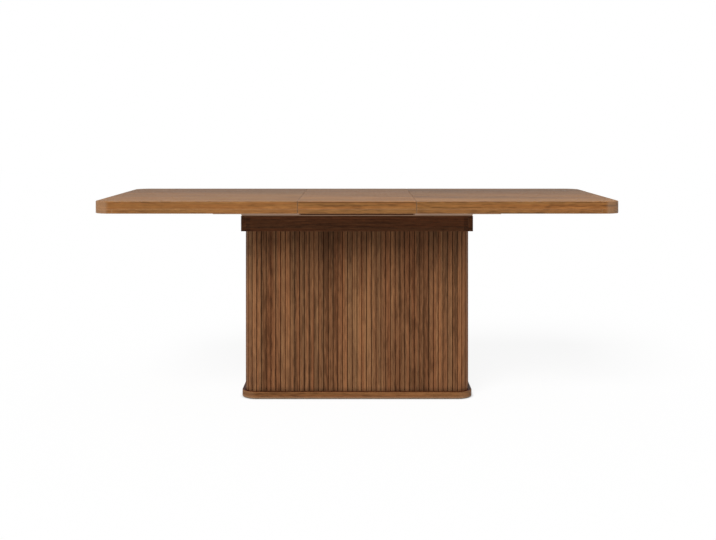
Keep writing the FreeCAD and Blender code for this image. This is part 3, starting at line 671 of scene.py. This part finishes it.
def screw_material():
    """Plated steel with small duller patches."""
    material, nodes = new_material("screw_steel")
    patch = nodes.noise(nodes.place(), STEEL_SCALE, detail=3.0)
    inputs = {
        "Base Color": nodes.mix(patch, *STEEL),
        "Metallic": 1.0,
        "Roughness": nodes.remap(patch, *WIDE_NOISE, *STEEL_ROUGHNESS),
    }
    surface(nodes, inputs)
    return material


def plastic_material():
    """Black moulded plastic with fine specks, scuffed in places."""
    material, nodes = new_material("glide_plastic")
    place = nodes.place()
    speck = nodes.noise(place, SPECK_SCALE, detail=1.0)
    scuff = nodes.noise(place, PLASTIC_SCALE, detail=3.0)
    inputs = {
        "Base Color": nodes.mix(scuff, *PLASTIC),
        "Roughness": nodes.remap(scuff, *WIDE_NOISE, *PLASTIC_ROUGHNESS),
        "Normal": bump(nodes, speck, SPECK_DEPTH),
    }
    surface(nodes, inputs)
    return material


# Dressing the frame
EDGING_STRIPS = ("end_strip", "front_strip", "back_strip")
LONG_DARK = ("housing_plate", "housing_front_rail", "housing_back_rail")


def own_materials():
    """Materials by the whole name of a node."""
    materials = slat_materials()
    materials["plinth"] = plinth_material()
    for side, wood in TOPS.items():
        materials[wood["panel"]] = top_material(f"{side}_veneer", wood)
        edging = edge_material(f"{side}_edging", wood)
        for strip in EDGING_STRIPS:
            materials[f"{side}_{strip}"] = edging
    dark_long = housing_material()
    for name in LONG_DARK:
        materials[name] = dark_long
    return materials


def shared_materials():
    """Materials by the last word of a node's name, for the nodes that have none of their own."""
    board_short = board_material("underside_board_short", BOARD_TONES, "Y", seed=17.0)
    core = board_material("core_board", CORE_TONES, "Z", seed=19.0)
    dark_short = board_material("dark_wood_short", DARK_TONES, "Y", seed=7.0)
    return {
        "screws": screw_material(),
        "board": core,
        "divider": core,
        "posts": core,
        "rail": dark_short,
        "stretcher": dark_short,
        "track": metal_material("track_metal", TRACK_BRONZE),
        "runner": metal_material("runner_metal", RUNNER_BRONZE),
        "glides": plastic_material(),
        "batten": board_material("underside_board", BOARD_TONES, "X", seed=13.0),
        "bearer": board_material("bearer_wood", BEARER_TONES, "X", seed=29.0),
        "strip": board_short,
        "blocks": board_short,
    }


def dress():
    own = own_materials()
    shared = shared_materials()
    for name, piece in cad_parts.items():
        last_word = name.rpartition("_")[2]
        piece.material_slots[0].material = own.get(name) or shared[last_word]


# Studio


def seen_directly(nodes):
    """1 for what the camera sees, straight or in gloss or glass."""
    path = nodes.add("ShaderNodeLightPath", {}).outputs
    seen = nodes.math("MAXIMUM", path["Is Camera Ray"], path["Is Glossy Ray"])
    return nodes.math("MAXIMUM", seen, path["Is Transmission Ray"])


def make_world():
    """A white backdrop where it is seen, which lights the table as a dim dome."""
    world = bpy.data.worlds.new("studio")
    bpy.context.scene.world = world
    world.use_nodes = True
    world.node_tree.nodes.clear()
    nodes = Nodes(world.node_tree)
    height = nodes.split(nodes.add("ShaderNodeTexCoord", {}).outputs["Generated"])[2]
    dome = nodes.math("MULTIPLY_ADD", nodes.math("MAXIMUM", height, 0.0), DOME_RISE, DOME_SIDE)
    seen = seen_directly(nodes)
    unseen = nodes.math("SUBTRACT", 1.0, seen)
    strength = nodes.math("MULTIPLY_ADD", dome, unseen, seen)
    backdrop = nodes.add("ShaderNodeBackground", {"Color": WHITE, "Strength": strength})
    nodes.add("ShaderNodeOutputWorld", {"Surface": backdrop.outputs[0]})


def plain_grey(level):
    return (level, level, level, 1.0)


def floor_material():
    """Pale paint that looks white in the open, keeps the table's shadow and is clear from below. Its glow
    fades by ambient occlusion near the table's base, a painted contact shadow.
    """
    material, nodes = new_material("floor_white")
    speckle = nodes.noise(nodes.place(), FLOOR_SPECKLE, detail=3.0)
    darker = plain_grey(FLOOR_PALE - FLOOR_VARIATION)
    paler = plain_grey(FLOOR_PALE + FLOOR_VARIATION)
    colour = nodes.mix(speckle, darker, paler)
    paint = nodes.add("ShaderNodeBsdfDiffuse", {"Color": colour})
    strength = (1 - FLOOR_SHARE * FLOOR_PALE) / (1 - FLOOR_SHARE)
    glow = nodes.add("ShaderNodeEmission", {"Color": WHITE, "Strength": strength})
    # Painted contact shadow: ambient occlusion takes the glow away close under and beside the table's base.
    contact = nodes.add("ShaderNodeAmbientOcclusion", {"Distance": CONTACT_REACH}, samples=CONTACT_SAMPLES)
    glow_outside_contact_shade = nodes.math("MULTIPLY", seen_directly(nodes), contact.outputs["AO"])
    glow_share = nodes.math("MULTIPLY", glow_outside_contact_shade, 1 - FLOOR_SHARE)
    both = nodes.add("ShaderNodeMixShader", {0: glow_share, 1: paint.outputs[0], 2: glow.outputs[0]})
    clear = nodes.add("ShaderNodeBsdfTransparent", {})
    from_below = nodes.add("ShaderNodeNewGeometry", {}).outputs["Backfacing"]
    sided = nodes.add("ShaderNodeMixShader", {0: from_below, 1: both.outputs[0], 2: clear.outputs[0]})
    nodes.add("ShaderNodeOutputMaterial", {"Surface": sided.outputs[0]})
    return material


def make_floor():
    half = FLOOR_SIZE / 2
    mesh = bpy.data.meshes.new("floor")
    corners = [(-half, -half, 0), (half, -half, 0), (half, half, 0), (-half, half, 0)]
    mesh.from_pydata(corners, [], [(0, 1, 2, 3)])
    mesh.materials.append(floor_material())
    floor = bpy.data.objects.new("floor", mesh)
    bpy.context.scene.collection.objects.link(floor)


def make_key_light():
    lamp = bpy.data.lights.new("key", "SUN")
    lamp.energy = KEY_STRENGTH
    lamp.angle = KEY_SPREAD
    key = bpy.data.objects.new("key", lamp)
    key.rotation_euler = (math.pi / 2 - KEY_ELEVATION, 0, KEY_AZIMUTH)
    bpy.context.scene.collection.objects.link(key)


def make_camera():
    """A level camera along the depth, shifted so that horizon and middle fall as in the photo."""
    data = bpy.data.cameras.new("camera")
    data.sensor_fit = "HORIZONTAL"
    data.sensor_width = SENSOR_MM
    data.lens = FOCAL_PIXELS * SENSOR_MM / PICTURE_WIDTH
    data.shift_x = (PICTURE_WIDTH / 2 - CENTRE_COLUMN) / PICTURE_WIDTH
    data.shift_y = (HORIZON_ROW - PICTURE_HEIGHT / 2) / PICTURE_WIDTH
    camera = bpy.data.objects.new("camera", data)
    camera.location = (0, -CAMERA_DISTANCE, CAMERA_HEIGHT)
    camera.rotation_euler = (math.pi / 2, 0, 0)
    bpy.context.scene.collection.objects.link(camera)
    bpy.context.scene.camera = camera


dress()
make_world()
make_floor()
make_key_light()
make_camera()
bpy.context.scene.view_settings.view_transform = "Standard"
